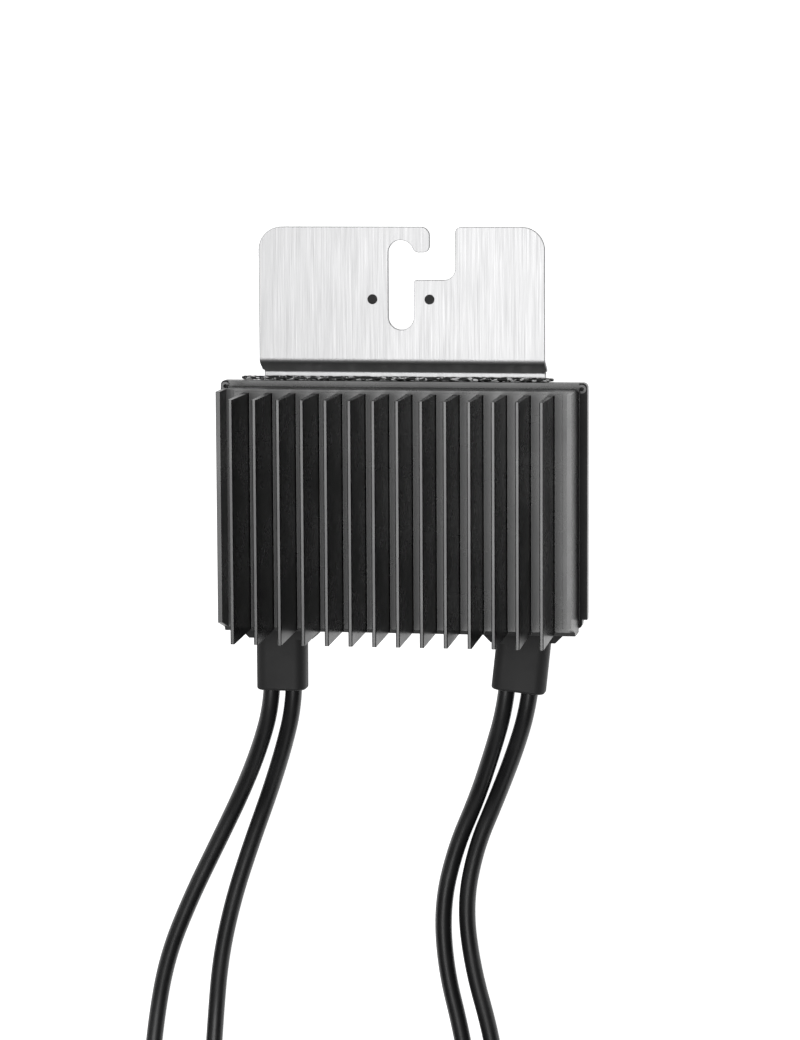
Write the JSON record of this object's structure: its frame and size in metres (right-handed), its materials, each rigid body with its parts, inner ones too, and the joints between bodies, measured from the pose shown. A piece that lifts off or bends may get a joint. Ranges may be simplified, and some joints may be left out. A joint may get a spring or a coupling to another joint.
{
  "type": "module-level solar power optimizer",
  "caption": "Finned black power optimizer box with a hooked stainless bracket, two rubber boots and four leads ending in locking connectors.",
  "frame": {"origin": "middle of the footprint of the box with its bracket and boots, on the rear face's plane", "axes": "+X across the fins, +Y towards the bracket's hook, +Z out of the fins"},
  "size_m": [0.2203, 0.4131, 0.059],
  "materials": {
    "black_casting": "satin black coating",
    "black_housing": "fine matt",
    "stainless": "brushed along the length",
    "black_plug": "matt",
    "sealant": "rough, lightly speckled",
    "boot_rubber": "matt",
    "cable_jacket": "smooth, slight sheen",
    "connector_plastic": "fine matt",
    "tinned_copper": "bright",
    "zinc_screw": "zinc plated",
    "plate_film": "blank, satin",
    "tie_plastic": "smooth",
    "board_green": "solder mask",
    "ferrite": "sintered",
    "copper_winding": "enamelled",
    "capacitor_case": "moulded",
    "chip_resin": "moulded",
    "pad_grey": "soft",
    "film_amber": "film",
    "potting": "cast",
    "seal_rubber": "silicone"
  },
  "bodies": {
    "root": {"board_screws": "zinc_screw", "bracket_plugs": "black_plug", "cable_terminals": "tinned_copper", "case_screws": "zinc_screw", "circuit_board": "board_green", "coil_ties_a": "tie_plastic", "coil_ties_b": "tie_plastic", "connector_contacts": "tinned_copper", "connector_rings": "seal_rubber", "connector_seals": "seal_rubber", "control_chips": "chip_resin", "heat_sink": "black_casting", "housing_gasket": "sealant", "inductor_cores": "ferrite", "inductor_windings": "copper_winding", "input_a_connector": "connector_plastic", "input_b_connector": "connector_plastic", "input_boot": "boot_rubber", "input_cable_a": "cable_jacket", "input_cable_b": "cable_jacket", "input_capacitors": "capacitor_case", "insulating_sheet": "film_amber", "joint_sealant": "sealant", "lead_conductors": "copper_winding", "mounting_bracket": "stainless", "output_a_connector": "connector_plastic", "output_b_connector": "connector_plastic", "output_boot": "boot_rubber", "output_cable_a": "cable_jacket", "output_cable_b": "cable_jacket", "output_capacitors": "capacitor_case", "output_coil_a": "cable_jacket", "output_coil_b": "cable_jacket", "output_tail_a": "cable_jacket", "output_tail_b": "cable_jacket", "potting_layer": "potting", "power_transistors": "chip_resin", "rating_plate": "plate_film", "rear_housing": "black_housing", "shunt_resistors": "chip_resin", "small_parts": "capacitor_case", "thermal_pads": "pad_grey"},
    "input_a_nut": {"input_a_nut": "connector_plastic"},
    "input_a_collet": {"input_a_collet": "connector_plastic"},
    "input_b_nut": {"input_b_nut": "connector_plastic"},
    "input_b_collet": {"input_b_collet": "connector_plastic"},
    "output_a_nut": {"output_a_nut": "connector_plastic"},
    "output_a_collet": {"output_a_collet": "connector_plastic"},
    "output_b_nut": {"output_b_nut": "connector_plastic"},
    "output_b_collet": {"output_b_collet": "connector_plastic"}
  },
  "joints": [
    {"name": "input_a_collet_slide", "type": "slide", "parent": "root", "child": "input_a_collet", "axis": [0.0154, 0.9999, 0], "range_m": [0, 0.003]},
    {"name": "input_a_nut_turn", "type": "hinge", "parent": "input_a_collet", "child": "input_a_nut", "pos_m": [-0.09612, -0.242, 0.0095], "axis": [0.0154, 0.9999, 0], "range_deg": [0, 720]},
    {"name": "input_b_collet_slide", "type": "slide", "parent": "root", "child": "input_b_collet", "axis": [0.0192, 0.9998, 0], "range_m": [0, 0.003]},
    {"name": "input_b_nut_turn", "type": "hinge", "parent": "input_b_collet", "child": "input_b_nut", "pos_m": [-0.07335, -0.242, 0.0095], "axis": [0.0192, 0.9998, 0], "range_deg": [0, 720]},
    {"name": "output_a_collet_slide", "type": "slide", "parent": "root", "child": "output_a_collet", "axis": [0.9245, 0.3813, 0], "range_m": [0, 0.003]},
    {"name": "output_a_nut_turn", "type": "hinge", "parent": "output_a_collet", "child": "output_a_nut", "pos_m": [-0.02076, -0.30784, 0.0095], "axis": [0.9245, 0.3813, 0], "range_deg": [0, 720]},
    {"name": "output_b_collet_slide", "type": "slide", "parent": "root", "child": "output_b_collet", "axis": [-0.9245, 0.3813, 0], "range_m": [0, 0.003]},
    {"name": "output_b_nut_turn", "type": "hinge", "parent": "output_b_collet", "child": "output_b_nut", "pos_m": [0.07276, -0.30784, 0.0095], "axis": [-0.9245, 0.3813, 0], "range_deg": [0, 720]}
  ],
  "couplings": [
    {"joint": "input_a_nut_turn", "follows": "input_a_collet_slide", "rad_per_m": 4188.8},
    {"joint": "input_b_nut_turn", "follows": "input_b_collet_slide", "rad_per_m": 4188.8},
    {"joint": "output_a_nut_turn", "follows": "output_a_collet_slide", "rad_per_m": 4188.8},
    {"joint": "output_b_nut_turn", "follows": "output_b_collet_slide", "rad_per_m": 4188.8}
  ]
}
